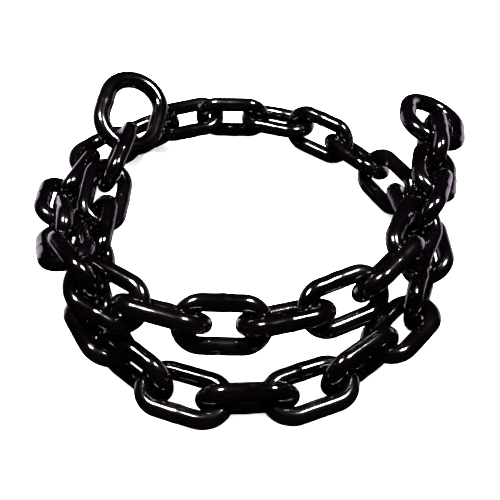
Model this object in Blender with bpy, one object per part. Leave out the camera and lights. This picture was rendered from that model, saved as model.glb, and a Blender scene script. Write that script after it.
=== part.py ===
"""A length of short-link steel chain with an oblong end link on each end,
lying on a level floor in a loose coil of nearly two turns.

Every link is a closed loop of round steel in an object of its own. LAY says
roughly where each link lies and how it leans. The links are then settled:
links that overlap are pushed apart, links that are hooked together are drawn
up until they all but touch, and none is left below the floor.
"""

import math

import bpy
import numpy as np
from mathutils import Matrix, Vector

# Sizes of one link, in metres
WIRE = 0.013
INSIDE_LENGTH = 0.044
INSIDE_WIDTH = 0.016

# Sizes of the oblong link at each end of the chain
END_WIRE = 0.015
END_INSIDE_LENGTH = 0.052
END_INSIDE_WIDTH = 0.033

CLEARANCE = 0.0006

# The links from one end of the chain to the other: x, y and z of the middle,
# in millimetres, and the lean of the link's width from level, in degrees.
LAY = (
    (-104, 115, 56, -30),
    (-112, 72, 41, 60),
    (-123, 31, 31, -30),
    (-123, -6, 24, 75),
    (-127, -38, 25, -80),
    (-120, -69, 21, 45),
    (-106, -105, 25, -30),
    (-80, -133, 21, -90),
    (-44, -156, 20, 5),
    (-2, -160, 21, -70),
    (40, -153, 20, 5),
    (76, -130, 21, -85),
    (107, -100, 22, -10),
    (133, -61, 21, -95),
    (134, -23, 23, -30),
    (135, 19, 22, 45),
    (119, 61, 23, -50),
    (95, 98, 22, 35),
    (64, 126, 25, -70),
    (26, 147, 25, 10),
    (-17, 152, 25, 85),
    (-60, 151, 24, -15),
    (-95, 129, 22, 75),
    (-129, 103, 22, -10),
    (-151, 72, 20, 65),
    (-155, 22, 27, -30),
    (-140, -12, 38, 75),
    (-132, -49, 51, 0),
    (-121, -79, 65, -70),
    (-98, -103, 62, 40),
    (-58, -121, 62, -45),
    (-20, -125, 55, 55),
    (23, -119, 55, -35),
    (64, -103, 54, 45),
    (99, -79, 57, -60),
    (122, -41, 59, 42),
    (138, 1, 57, -60),
    (152, 41, 49, 30),
    (156, 84, 49, -75),
    (164, 122, 42, 20),
)

LINK_COLOUR = (0.010, 0.009, 0.012)
LINK_ROUGHNESS = 0.18
END_COLOUR = (0.012, 0.010, 0.014)
END_ROUGHNESS = 0.22

ARC_STEPS = 6
STRAIGHT_STEPS = 3
BEVEL_RESOLUTION = 2

SETTLING_ROUNDS = 120
CONTACT_ARC_STEPS = 16
CONTACT_STRAIGHT_STEPS = 6
CONTACT_QUARTERS = 4
REACH = 0.1
GYRATION_RADIUS = 0.022


class Shape:
    """The sizes of one kind of link."""

    def __init__(self, wire, inside_length, inside_width):
        self.wire = wire
        self.half_length = inside_length / 2
        self.half_width = (inside_width + wire) / 2
        self.half_straight = (inside_length - inside_width) / 2

    def centre_line(self, arc_steps, straight_steps):
        """Points of the wire's middle line: two straight sides and two half circles."""
        turn = np.linspace(-math.pi / 2, math.pi / 2, arc_steps + 1)
        arc = np.column_stack((self.half_straight + self.half_width * np.cos(turn),
                               self.half_width * np.sin(turn)))
        side = np.linspace(self.half_straight, -self.half_straight, straight_steps + 1)[1:-1]
        straight = np.column_stack((side, np.full(len(side), self.half_width)))
        half = np.vstack((arc, straight))
        return np.pad(np.vstack((half, -half)), ((0, 0), (0, 1)))


LINK = Shape(WIRE, INSIDE_LENGTH, INSIDE_WIDTH)
END_LINK = Shape(END_WIRE, END_INSIDE_LENGTH, END_INSIDE_WIDTH)


def unit(vector):
    return vector / np.linalg.norm(vector)


class Link:
    """One link and where it lies.

    The columns of turned are the ways that its length, its width and the
    normal of its plane point.
    """

    def __init__(self, shape, centre, along, lean):
        self.shape = shape
        self.centre = centre
        level = unit(np.cross((0, 0, 1), along))
        across = math.cos(lean) * level + math.sin(lean) * np.cross(along, level)
        self.turned = np.column_stack((along, across, np.cross(along, across)))
        self.flat = shape.centre_line(CONTACT_ARC_STEPS, CONTACT_STRAIGHT_STEPS)

    def line(self):
        """Points of the wire's middle line where the link lies."""
        return self.centre + self.flat @ self.turned.T

    def freedom(self, arm, way):
        """How readily a point of the link gives way in one direction."""
        turning = np.cross(arm, way) / GYRATION_RADIUS
        return 1 + turning @ turning

    def shove(self, arm, amount):
        """Moves and turns the link as a push at the end of the arm would."""
        self.centre = self.centre + amount
        self.turned = rotation(np.cross(arm, amount) / GYRATION_RADIUS ** 2) @ self.turned


def rotation(turn):
    """The matrix that turns by the vector's length, in radians, about the vector."""
    angle = np.linalg.norm(turn)
    if angle == 0:
        return np.eye(3)
    x, y, z = turn / angle
    skew = np.array(((0, -z, y), (z, 0, -x), (-y, x, 0)))
    return np.eye(3) + math.sin(angle) * skew + (1 - math.cos(angle)) * skew @ skew


def rough_links():
    """The links where LAY puts them, each pointing from the link before to the one after."""
    rows = np.array(LAY, float)
    centres = rows[:, :3] / 1000
    leans = np.radians(rows[:, 3])
    last = len(rows) - 1
    links = []
    for i in range(len(rows)):
        along = unit(centres[min(i + 1, last)] - centres[max(i - 1, 0)])
        shape = END_LINK if i in (0, last) else LINK
        links.append(Link(shape, centres[i], along, leans[i]))
    return links


def spread(first, second, at_first, at_second, gap):
    """Moves two links so that the gap between two of their points becomes the clearance."""
    way = unit(at_first - at_second)
    arm_1 = at_first - first.centre
    arm_2 = at_second - second.centre
    freedom = first.freedom(arm_1, way) + second.freedom(arm_2, way)
    amount = (CLEARANCE - gap) / freedom * way
    first.shove(arm_1, amount)
    second.shove(arm_2, -amount)


def settle_pair(first, second, hooked):
    """Clears the overlaps of two links, or draws them together if they are hooked and apart."""
    line_1 = first.line()
    line_2 = second.line()
    radii = (first.shape.wire + second.shape.wire) / 2
    gaps = np.linalg.norm(line_1[:, None] - line_2[None], axis=2) - radii
    i, j = np.unravel_index(gaps.argmin(), gaps.shape)
    if gaps[i, j] >= CLEARANCE:
        if hooked:
            spread(first, second, line_1[i], line_2[j], gaps[i, j])
        return
    quarters = np.array_split(np.arange(len(line_1)), CONTACT_QUARTERS)
    for quarter_1 in quarters:
        for quarter_2 in quarters:
            part = gaps[np.ix_(quarter_1, quarter_2)]
            if part.min() >= CLEARANCE:
                continue
            a, b = np.unravel_index(part.argmin(), part.shape)
            at_first = first.line()[quarter_1[a]]
            at_second = second.line()[quarter_2[b]]
            gap = np.linalg.norm(at_first - at_second) - radii
            if gap < CLEARANCE:
                spread(first, second, at_first, at_second, gap)


def settle(links):
    """Moves the links until hooked ones all but touch and nothing overlaps or sinks."""
    for _ in range(SETTLING_ROUNDS):
        for i, first in enumerate(links):
            for j in range(i + 1, len(links)):
                if np.linalg.norm(first.centre - links[j].centre) < REACH:
                    settle_pair(first, links[j], j == i + 1)
        for link in links:
            lowest = min(link.line(), key=lambda point: point[2])
            depth = link.shape.wire / 2 - lowest[2]
            if depth > 0:
                arm = lowest - link.centre
                up = np.array((0, 0, 1))
                link.shove(arm, depth / link.freedom(arm, up) * up)


def steel(name, colour, roughness):
    """Black-finished steel as a Principled material."""
    material = bpy.data.materials.new(name)
    material.use_nodes = True
    shader = material.node_tree.nodes["Principled BSDF"]
    shader.inputs["Base Color"].default_value = (*colour, 1)
    shader.inputs["Roughness"].default_value = roughness
    shader.inputs["Metallic"].default_value = 0.0
    return material


def wire_loop(name, shape, material):
    """One closed loop of round steel, flat and centred, with its length along X."""
    curve = bpy.data.curves.new(name, "CURVE")
    curve.dimensions = "3D"
    curve.bevel_depth = shape.wire / 2
    curve.bevel_resolution = BEVEL_RESOLUTION
    curve.materials.append(material)
    points = shape.centre_line(ARC_STEPS, STRAIGHT_STEPS)
    spline = curve.splines.new("POLY")
    spline.points.add(len(points) - 1)
    spline.use_cyclic_u = True
    for point, place in zip(spline.points, points):
        point.co = (*place, 1)
    return curve


def bottom_centre(objects):
    """The middle of the bottom of the box around all the links."""
    bpy.context.view_layer.update()
    graph = bpy.context.evaluated_depsgraph_get()
    corners = []
    for item in objects:
        mesh = item.evaluated_get(graph).to_mesh()
        points = [item.matrix_world @ vertex.co for vertex in mesh.vertices]
        corners.append(np.min(points, axis=0))
        corners.append(np.max(points, axis=0))
    low = np.min(corners, axis=0)
    high = np.max(corners, axis=0)
    return Vector(((low[0] + high[0]) / 2, (low[1] + high[1]) / 2, low[2]))


def main():
    for old in list(bpy.data.objects):
        bpy.data.objects.remove(old)
    collection = bpy.data.collections.new("steel_chain")
    bpy.context.scene.collection.children.link(collection)

    links = rough_links()
    settle(links)
    link_steel = steel("chain_black", LINK_COLOUR, LINK_ROUGHNESS)
    end_steel = steel("end_link_black", END_COLOUR, END_ROUGHNESS)
    link_curve = wire_loop("chain_link", LINK, link_steel)
    end_curve = wire_loop("end_link", END_LINK, end_steel)
    objects = []
    for number, link in enumerate(links):
        if number == 0:
            name = "first_end_link"
        elif number == len(links) - 1:
            name = "last_end_link"
        else:
            name = f"chain_link_{number:02d}"
        item = bpy.data.objects.new(name, link_curve if link.shape is LINK else end_curve)
        item.location = link.centre
        item.rotation_euler = Matrix(link.turned).to_euler()
        collection.objects.link(item)
        objects.append(item)

    origin = bottom_centre(objects)
    for item in objects:
        item.location -= origin


if __name__ == "__main__":
    main()
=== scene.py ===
"""Looks of a length of black short-link chain that lies in a loose coil.

Each CAD link is replaced by a smooth one, swept round the same loop in the
same place, and dressed in glossy black lacquer. A white floor, two lamps, two
cards and a camera at the photograph's angle stand round it.
"""

import logging
import math
from dataclasses import dataclass
from enum import Enum

import bpy
import numpy as np
from mathutils import Matrix, Vector


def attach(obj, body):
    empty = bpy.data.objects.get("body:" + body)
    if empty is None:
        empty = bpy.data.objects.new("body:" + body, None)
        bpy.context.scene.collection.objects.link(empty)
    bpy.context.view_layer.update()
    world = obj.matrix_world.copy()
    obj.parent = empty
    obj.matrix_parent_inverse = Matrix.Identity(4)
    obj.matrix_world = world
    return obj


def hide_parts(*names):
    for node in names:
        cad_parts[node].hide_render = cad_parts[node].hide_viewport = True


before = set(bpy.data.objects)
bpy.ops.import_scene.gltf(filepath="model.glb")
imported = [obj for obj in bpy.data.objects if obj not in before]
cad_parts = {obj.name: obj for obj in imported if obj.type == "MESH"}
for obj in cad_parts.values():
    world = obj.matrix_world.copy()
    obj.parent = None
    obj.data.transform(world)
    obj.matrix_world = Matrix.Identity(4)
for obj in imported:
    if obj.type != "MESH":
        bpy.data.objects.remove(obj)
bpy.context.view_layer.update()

LOG = logging.getLogger("chain")
MM = 0.001
SAME_POINT_DIGITS = 7
PICTURE_PX = 500
SENSOR_MM = 36.0


def linear(colour: str) -> tuple[float, float, float, float]:
    """Turns an sRGB hex colour into linear values.

    Args:
        colour: six hex digits after a hash sign.

    Returns:
        Linear red, green, blue and a full alpha.
    """
    shares = [int(colour[i : i + 2], 16) / 255 for i in (1, 3, 5)]
    light = [s / 12.92 if s <= 0.04045 else ((s + 0.055) / 1.055) ** 2.4 for s in shares]
    return (*light, 1.0)


def add_node(
    tree: bpy.types.NodeTree,
    kind: str,
    settings: dict[str, object] | None = None,
    links: dict[str, bpy.types.NodeSocket] | None = None,
) -> bpy.types.Node:
    """Adds a node with its settings and its incoming links.

    Args:
        tree: the node tree that takes the node.
        kind: the node's Blender type name.
        settings: values by property name, or by socket name where there is no such property.
        links: sockets of other nodes, by the name of the socket that each feeds.

    Returns:
        The new node.
    """
    node = tree.nodes.new(kind)
    for name, value in (settings or {}).items():
        if hasattr(node, name):
            setattr(node, name, value)
        else:
            node.inputs[name].default_value = value
    for name, socket in (links or {}).items():
        tree.links.new(socket, node.inputs[name])
    return node


class Slot(Enum):
    """The record's material slots."""

    CHAIN = "chain_black"
    END_LINK = "end_link_black"


@dataclass(frozen=True)
class BlackLacquer:
    """Hard black stoving lacquer on forged steel, dipped or sprayed and baked.

    The eye gets an almost pure black with the faintest violet in it, sharp
    white glints along the bars, and a slow waviness in those glints where the
    lacquer follows the drawn and hammered bar.
    """

    name: str
    slot: Slot
    deep_colour: str = "#000000"
    worn_colour: str = "#020102"
    roughness: tuple[float, float] = (0.06, 0.14)
    ior: float = 1.5
    wave_mm: float = 11.0
    wave_height_mm: float = 0.16
    peel_mm: float = 1.4
    peel_height_mm: float = 0.012
    patch_mm: float = 30.0
    patch_range: tuple[float, float] = (0.3, 0.7)

    def material(self) -> bpy.types.Material:
        """Builds the material.

        Returns:
            The finished material.
        """
        material = bpy.data.materials.new(self.name)
        material.use_nodes = True
        tree = material.node_tree
        shader = tree.nodes["Principled BSDF"]
        shader.inputs["IOR"].default_value = self.ior
        place = {"Vector": add_node(tree, "ShaderNodeTexCoord").outputs["Object"]}
        patches, waves, peel = (
            add_node(tree, "ShaderNodeTexNoise", {"Scale": 1 / (size * MM), "Detail": detail}, place)
            for size, detail in ((self.patch_mm, 3), (self.wave_mm, 1), (self.peel_mm, 2))
        )

        # Handling leaves wide patches a shade lighter and less sharp
        colour = add_node(tree, "ShaderNodeMix", {"data_type": "RGBA"}, {"Factor": patches.outputs["Fac"]})
        colour.inputs["A"].default_value = linear(self.deep_colour)
        colour.inputs["B"].default_value = linear(self.worn_colour)
        tree.links.new(colour.outputs["Result"], shader.inputs["Base Color"])
        ends = (*self.patch_range, *self.roughness)
        settings = dict(zip(("From Min", "From Max", "To Min", "To Max"), ends))
        rough = add_node(tree, "ShaderNodeMapRange", settings, {"Value": patches.outputs["Fac"]})
        tree.links.new(rough.outputs["Result"], shader.inputs["Roughness"])

        # The hammered bar bends the glints, and the lacquer's orange peel breaks their edges
        bent = add_node(tree, "ShaderNodeBump", {"Distance": self.wave_height_mm * MM},
                        {"Height": waves.outputs["Fac"]})
        skin = add_node(tree, "ShaderNodeBump", {"Distance": self.peel_height_mm * MM},
                        {"Height": peel.outputs["Fac"], "Normal": bent.outputs["Normal"]})
        tree.links.new(skin.outputs["Normal"], shader.inputs["Normal"])
        return material


@dataclass(frozen=True)
class LinkSize:
    """The sizes of one kind of link, in metres."""

    wire: float
    inside_length: float
    inside_width: float

    @property
    def half_width(self) -> float:
        """Half the width between the two bars' middle lines."""
        return (self.inside_width + self.wire) / 2

    @property
    def half_straight(self) -> float:
        """Half the length of a straight bar."""
        return (self.inside_length - self.inside_width) / 2


@dataclass(frozen=True)
class Dents:
    """The shallow hollows that bending and welding leave in the bar.

    They are two sine waves added together. Each runs a whole number of times
    along the loop and round the bar, so it closes on itself.
    """

    depth: float = 0.09 * MM
    long_wave: tuple[int, int] = (5, 2)
    short_wave: tuple[int, int] = (9, -1)
    short_share: float = 0.7
    turn_per_metre: float = 40.0

    def depths(self, along: np.ndarray, around: np.ndarray, centre: np.ndarray) -> np.ndarray:
        """How much each point of the bar lies under the true round.

        Args:
            along: angle gone round the loop, one row for each step.
            around: angle round the bar.
            centre: the link's middle, which shifts the waves so that no two links match.

        Returns:
            Depths from nothing to the full depth, one for each point of the grid.
        """
        shift = self.turn_per_metre * (centre[0] - centre[1])
        long = np.sin(self.long_wave[0] * along + self.long_wave[1] * around + shift)
        short = np.sin(self.short_wave[0] * along + self.short_wave[1] * around + 3 * shift)
        highest = 1 + self.short_share
        return self.depth * (long + self.short_share * short + highest) / (2 * highest)


@dataclass
class Resting:
    """How one CAD link lies: its middle, and the ways its length, width and normal point."""

    centre: np.ndarray
    axes: np.ndarray

    @classmethod
    def of(cls, node: bpy.types.Object) -> "Resting":
        """Reads a link's place off its CAD node.

        A link is a symmetric loop, so its middle is the mean of its points
        and its length, width and normal are the principal axes of its points.

        Args:
            node: the CAD node's object.

        Returns:
            The link's place.
        """
        points = np.empty(len(node.data.vertices) * 3)
        node.data.vertices.foreach_get("co", points)
        points = np.unique(points.reshape(-1, 3).round(SAME_POINT_DIGITS), axis=0)
        centre = points.mean(axis=0)
        axes = np.linalg.svd(points - centre, full_matrices=False)[2]
        axes[2] = np.cross(axes[0], axes[1])
        return cls(centre, axes)


@dataclass
class WeldedLink:
    """One link: round bar bent to a long loop and butt-welded halfway along one side."""

    name: str
    node: str
    size: LinkSize
    resting: Resting
    finish: BlackLacquer
    weld_side: int
    weld_height: float = 0.25 * MM
    weld_half_length: float = 3.2 * MM
    bow: float = 0.4 * MM
    dents: Dents = Dents()
    steps_along: int = 128
    steps_round: int = 32

    def loop(self) -> tuple[np.ndarray, np.ndarray]:
        """The bar's middle line, walked at an even pace.

        The loop has two straight sides and two half circles. A distance along
        it falls on a side, where the point slides along X, or on an end, where
        the distance over the radius is the angle turned. The sides then bow
        outward by a cosine of the way from the middle to the tip.

        Returns:
            Points of the loop and the outward direction at each, in its own plane.
        """
        half_straight, half_width = self.size.half_straight, self.size.half_width
        side, bend = 2 * half_straight, math.pi * half_width
        walked = np.arange(self.steps_along) / self.steps_along * 2 * (side + bend)
        second = walked >= side + bend
        walked = walked - second * (side + bend)
        angle = np.clip(walked - side, 0, bend) / half_width
        out = np.column_stack((np.sin(angle), np.cos(angle)))
        points = half_width * out
        points[:, 0] += np.where(walked < side, walked - half_straight, half_straight)
        from_middle = points[:, 0] / (half_straight + half_width)
        points[:, 1] += self.bow * np.sign(out[:, 1]) * np.cos(math.pi / 2 * from_middle)
        turn = np.where(second, -1.0, 1.0)[:, None]
        return points * turn, out * turn

    def surface(self) -> np.ndarray:
        """The skin of the bar as a grid of points.

        A circle of the bar's radius is carried along the loop, square to it.
        Near the weld the radius swells by a bell curve of the distance from
        the middle of the welded side, and the dents take their depth off it.

        Returns:
            Points with the shape (along, round, 3), in the CAD frame.
        """
        line, out = self.loop()
        on_side = abs(line[:, 0]) < self.size.half_straight
        on_weld = on_side & (np.sign(line[:, 1]) == self.weld_side)
        swell = on_weld * self.weld_height * np.exp(-((line[:, 0] / self.weld_half_length) ** 2))
        along = np.arange(self.steps_along)[:, None] / self.steps_along * math.tau
        around = np.arange(self.steps_round) / self.steps_round * math.tau
        hollows = self.dents.depths(along, around, self.resting.centre)
        radius = self.size.wire / 2 + swell[:, None] - hollows
        flat = line[:, None, :] + (radius * np.cos(around))[..., None] * out[:, None, :]
        rise = radius * np.sin(around)
        local = np.concatenate((flat, rise[..., None]), axis=2)
        return self.resting.centre + local @ self.resting.axes

    def build(self) -> bpy.types.Object:
        """Makes the link's mesh and puts it in place of its CAD node.

        Each face joins a point to the next one round the bar and the next one
        along the loop, and both ways round close on their first point.

        Returns:
            The link's object, at the origin, with its place in its mesh.
        """
        grid = self.surface()
        rows, columns = grid.shape[:2]
        row, column = np.meshgrid(np.arange(rows), np.arange(columns), indexing="ij")
        next_row, next_column = (row + 1) % rows, (column + 1) % columns
        corners = [(row, column), (row, next_column), (next_row, next_column), (next_row, column)]
        faces = np.stack([r * columns + c for r, c in corners], axis=2).reshape(-1, 4)
        mesh = bpy.data.meshes.new(self.name)
        mesh.from_pydata(grid.reshape(-1, 3), [], faces.tolist())
        mesh.shade_smooth()
        mesh.update()
        link = bpy.data.objects.new(self.name, mesh)
        bpy.context.scene.collection.objects.link(link)
        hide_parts(self.node)
        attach(link, "root")
        return link

    def dress(self, link: bpy.types.Object, material: bpy.types.Material) -> None:
        """Gives the link its lacquer.

        Args:
            link: the link's object.
            material: the lacquer.
        """
        link.data.materials.append(material)


@dataclass
class Chain:
    """The whole chain: every link between the two oblong end links, and those two."""

    link_size: LinkSize = LinkSize(13 * MM, 44 * MM, 16 * MM)
    end_size: LinkSize = LinkSize(15 * MM, 52 * MM, 33 * MM)
    link_finish: BlackLacquer = BlackLacquer("stoved_black_lacquer_on_chain", Slot.CHAIN)
    end_finish: BlackLacquer = BlackLacquer("stoved_black_lacquer_on_forging", Slot.END_LINK,
                                            wave_mm=14.0, wave_height_mm=0.2)

    def build(self) -> list[bpy.types.Object]:
        """Builds and dresses every link, with the welds on either side in turn.

        Returns:
            The links' objects.
        """
        materials = {finish: finish.material() for finish in (self.link_finish, self.end_finish)}
        built = []
        for number, name in enumerate(sorted(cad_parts)):
            at_end = name.endswith("end_link")
            link = WeldedLink(
                name=f"smooth_{name}",
                node=name,
                size=self.end_size if at_end else self.link_size,
                resting=Resting.of(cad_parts[name]),
                finish=self.end_finish if at_end else self.link_finish,
                weld_side=-1 if number % 2 else 1,
            )
            piece = link.build()
            link.dress(piece, materials[link.finish])
            built.append(piece)
        return built


@dataclass(frozen=True)
class SoftBox:
    """A square soft light that looks at the middle of the chain."""

    name: str
    place: tuple[float, float, float]
    side: float
    watts: float
    colour: str = "#ffffff"

    def build(self) -> bpy.types.Object:
        """Makes the light.

        Returns:
            The light's object.
        """
        light = bpy.data.lights.new(self.name, "AREA")
        light.size = self.side
        light.color = linear(self.colour)[:3]
        light.energy = self.watts
        lamp = bpy.data.objects.new(self.name, light)
        lamp.location = self.place
        lamp.rotation_euler = (-lamp.location).to_track_quat("-Z", "Y").to_euler()
        bpy.context.scene.collection.objects.link(lamp)
        return lamp


@dataclass
class Studio:
    """The white floor, the lights and the camera.

    The two lamps hang to the left and right, and their glints fall near the
    ends of the bars that cross the picture. The two cards stand behind the
    chain, mostly below the floor's level, and give the outer edges of the bars
    a pale lilac line.
    """

    elevation_deg: float = 44.98
    azimuth_deg: float = 0.12
    roll_deg: float = 0.17
    lens_px: float = 784.4
    distance: float = 0.6480
    target: tuple[float, float, float] = (-0.0096, 0.0041, 0.0)
    floor_half_width: float = 6.0
    floor_drop: float = 0.5 * MM
    floor_colour: str = "#f4f4f4"
    floor_roughness: float = 0.9
    sky_colour: str = "#ffffff"
    sky_strength: float = 4.6
    boxes: tuple[SoftBox, ...] = (
        SoftBox("left_lamp", (-0.43, 0.0, 1.2), 0.26, 66.0),
        SoftBox("right_lamp", (0.46, 0.0, 1.2), 0.26, 66.0),
        SoftBox("left_card", (-2.6, 2.6, -0.9), 2.6, 52.0, "#d8cadc"),
        SoftBox("right_card", (2.8, 2.6, -1.0), 2.6, 46.0, "#d8cadc"),
    )

    def floor(self) -> bpy.types.Object:
        """Makes the floor.

        Returns:
            The floor's object, a flat sheet just under the chain, that shows in no reflection.
        """
        reach, level = self.floor_half_width, -self.floor_drop
        corners = [(-reach, -reach, level), (reach, -reach, level),
                   (reach, reach, level), (-reach, reach, level)]
        mesh = bpy.data.meshes.new("studio_floor")
        mesh.from_pydata(corners, [], [(0, 1, 2, 3)])
        material = bpy.data.materials.new("white_floor")
        material.use_nodes = True
        shader = material.node_tree.nodes["Principled BSDF"]
        shader.inputs["Base Color"].default_value = linear(self.floor_colour)
        shader.inputs["Roughness"].default_value = self.floor_roughness
        mesh.materials.append(material)
        sheet = bpy.data.objects.new("studio_floor", mesh)
        sheet.visible_glossy = False
        bpy.context.scene.collection.objects.link(sheet)
        return sheet

    def sky(self) -> None:
        """Makes the even white light from all round, which shows in no reflection."""
        world = bpy.data.worlds.new("white_room")
        bpy.context.scene.world = world
        world.use_nodes = True
        background = world.node_tree.nodes["Background"]
        background.inputs["Color"].default_value = linear(self.sky_colour)
        background.inputs["Strength"].default_value = self.sky_strength
        world.cycles_visibility.glossy = False

    def camera(self) -> bpy.types.Object:
        """Makes the camera at the photograph's angle.

        Returns:
            The camera's object.
        """
        data = bpy.data.cameras.new("camera")
        data.sensor_width = SENSOR_MM
        data.lens = self.lens_px / PICTURE_PX * SENSOR_MM
        camera = bpy.data.objects.new("camera", data)
        rise, turn = math.radians(self.elevation_deg), math.radians(self.azimuth_deg)
        level = math.cos(rise)
        ahead = Vector((math.sin(turn) * level, math.cos(turn) * level, -math.sin(rise)))
        camera.location = Vector(self.target) - self.distance * ahead
        aimed = ahead.to_track_quat("-Z", "Y").to_matrix().to_4x4()
        roll = Matrix.Rotation(math.radians(self.roll_deg), 4, "Z")
        camera.rotation_euler = (aimed @ roll).to_euler()
        bpy.context.scene.collection.objects.link(camera)
        bpy.context.scene.camera = camera
        return camera

    def build(self) -> None:
        """Builds the floor, the sky, the lights and the camera, for plain sRGB colours."""
        self.floor()
        self.sky()
        for box in self.boxes:
            box.build()
        self.camera()
        bpy.context.scene.view_settings.view_transform = "Standard"


def main() -> None:
    """Builds the chain, then the studio round it."""
    logging.basicConfig(level=logging.INFO, format="%(message)s")
    pieces = Chain().build()
    for piece in pieces:
        LOG.info("%s: %d faces", piece.name, len(piece.data.polygons))
    LOG.info("%d links", len(pieces))
    Studio().build()


if __name__ == "__main__":
    main()
